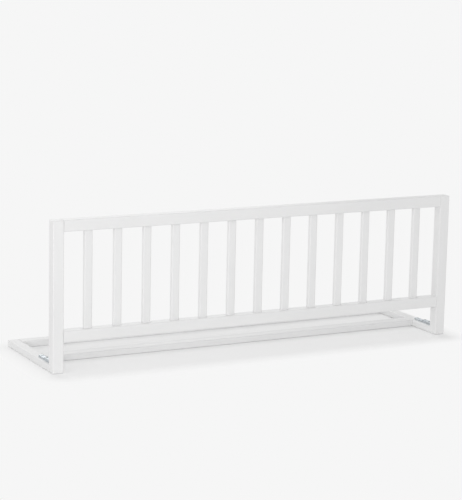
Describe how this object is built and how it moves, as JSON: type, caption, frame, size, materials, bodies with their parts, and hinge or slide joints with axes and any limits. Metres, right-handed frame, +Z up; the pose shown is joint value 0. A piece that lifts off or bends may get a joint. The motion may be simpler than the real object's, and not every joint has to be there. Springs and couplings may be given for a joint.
{
  "type": "folding bed guard rail",
  "caption": "Low slatted wooden guard for the side of a bed, hinged to a flat frame that slides under the mattress, and folding down over it.",
  "frame": {"origin": "on the ground, at the centre of the whole footprint", "axes": "+X runs along the guard, +Y runs from the guard back under the mattress, +Z is up"},
  "size_m": [1.2, 0.328, 0.4],
  "materials": {
    "white_lacquer": "satin white lacquer on solid wood",
    "raw_beech": "bare",
    "zinc_plate": "bright zinc plated",
    "screw_steel": "zinc plated, darker"
  },
  "bodies": {
    "base_frame": {"left_side_rail": "white_lacquer", "right_side_rail": "white_lacquer", "front_bar": "white_lacquer", "back_bar": "white_lacquer", "front_bar_left_dowel_1": "raw_beech", "front_bar_left_dowel_2": "raw_beech", "front_bar_right_dowel_1": "raw_beech", "front_bar_right_dowel_2": "raw_beech", "back_bar_left_dowel_1": "raw_beech", "back_bar_left_dowel_2": "raw_beech", "back_bar_right_dowel_1": "raw_beech", "back_bar_right_dowel_2": "raw_beech", "left_hinge_body": "zinc_plate", "left_hinge_pin": "screw_steel", "left_hinge_body_screw_1": "screw_steel", "left_hinge_body_screw_2": "screw_steel", "left_hinge_body_screw_3": "screw_steel", "right_hinge_body": "zinc_plate", "right_hinge_pin": "screw_steel", "right_hinge_body_screw_1": "screw_steel", "right_hinge_body_screw_2": "screw_steel", "right_hinge_body_screw_3": "screw_steel"},
    "guard": {"left_post": "white_lacquer", "right_post": "white_lacquer", "top_rail": "white_lacquer", "bottom_rail": "white_lacquer", "slat_01": "white_lacquer", "slat_02": "white_lacquer", "slat_03": "white_lacquer", "slat_04": "white_lacquer", "slat_05": "white_lacquer", "slat_06": "white_lacquer", "slat_07": "white_lacquer", "slat_08": "white_lacquer", "slat_09": "white_lacquer", "slat_10": "white_lacquer", "slat_11": "white_lacquer", "slat_12": "white_lacquer", "slat_13": "white_lacquer", "top_rail_left_dowel_1": "raw_beech", "top_rail_left_dowel_2": "raw_beech", "top_rail_right_dowel_1": "raw_beech", "top_rail_right_dowel_2": "raw_beech", "bottom_rail_left_dowel_1": "raw_beech", "bottom_rail_left_dowel_2": "raw_beech", "bottom_rail_right_dowel_1": "raw_beech", "bottom_rail_right_dowel_2": "raw_beech", "left_hinge_leaf": "zinc_plate", "left_hinge_leaf_screw_1": "screw_steel", "left_hinge_leaf_screw_2": "screw_steel", "right_hinge_leaf": "zinc_plate", "right_hinge_leaf_screw_1": "screw_steel", "right_hinge_leaf_screw_2": "screw_steel"}
  },
  "joints": [
    {"name": "guard_fold", "type": "hinge", "parent": "base_frame", "child": "guard", "pos_m": [0, -0.1298, 0.022], "axis": [-1, 0, 0], "range_deg": [0, 90]}
  ]
}
